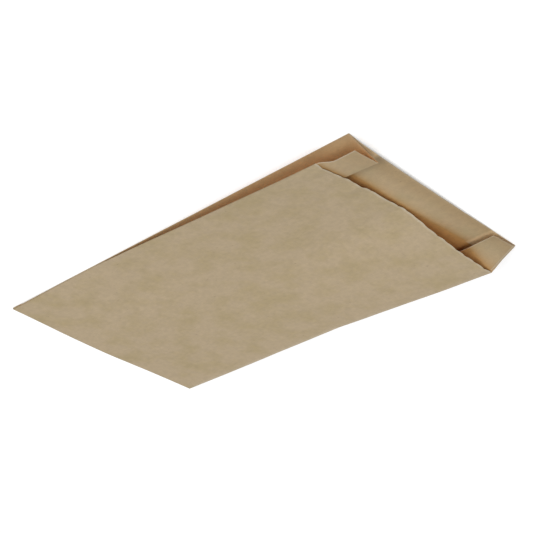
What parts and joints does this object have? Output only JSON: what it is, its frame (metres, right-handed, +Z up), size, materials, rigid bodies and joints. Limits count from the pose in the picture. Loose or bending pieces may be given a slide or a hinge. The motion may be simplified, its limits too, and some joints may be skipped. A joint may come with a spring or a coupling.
{
  "type": "paper lunch bag",
  "caption": "Flat, empty kraft paper bag with side gussets, a glued bottom, a back panel that stands out as a lip, and a mouth sprung slightly open.",
  "frame": {"origin": "centre of the bag's footprint, on the surface that it lies on", "axes": "+X across the bag to the far gusset, +Y along it from the glued bottom to the mouth, +Z up from the surface, out of the front panel"},
  "size_m": [0.1502, 0.2548, 0.012],
  "materials": {
    "kraft_paper": "uncoated matte kraft"
  },
  "bodies": {
    "root": {"paper_bag": "kraft_paper"}
  },
  "joints": []
}
